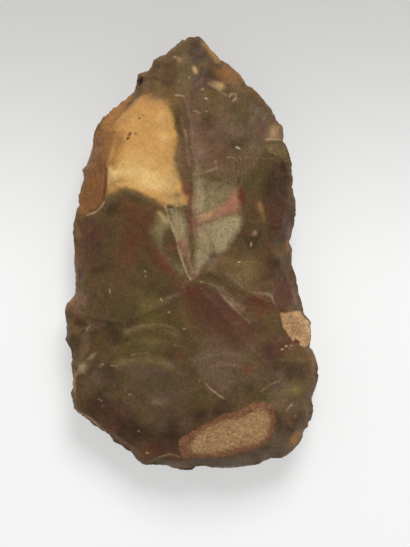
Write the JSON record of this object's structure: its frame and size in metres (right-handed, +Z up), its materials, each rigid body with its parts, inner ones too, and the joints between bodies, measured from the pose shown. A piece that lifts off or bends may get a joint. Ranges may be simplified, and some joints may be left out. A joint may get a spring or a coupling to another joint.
{
  "type": "flint hand axe",
  "caption": "Pointed almond-shaped stone hand axe, flaked over both faces to one sharp wavy edge, lying on its flatter face.",
  "frame": {"origin": "middle of the outline's box in plan, at the height of the flat it lies on", "axes": "+X across, +Y from the thick butt to the tip, +Z up, out of the face that shows"},
  "size_m": [0.0701, 0.1199, 0.0288],
  "materials": {
    "flint": "waxy to satin olive-brown flint with honey, buff, maroon and grey-green patches, and dull buff cortex"
  },
  "bodies": {
    "root": {"hand_axe": "flint"}
  },
  "joints": []
}
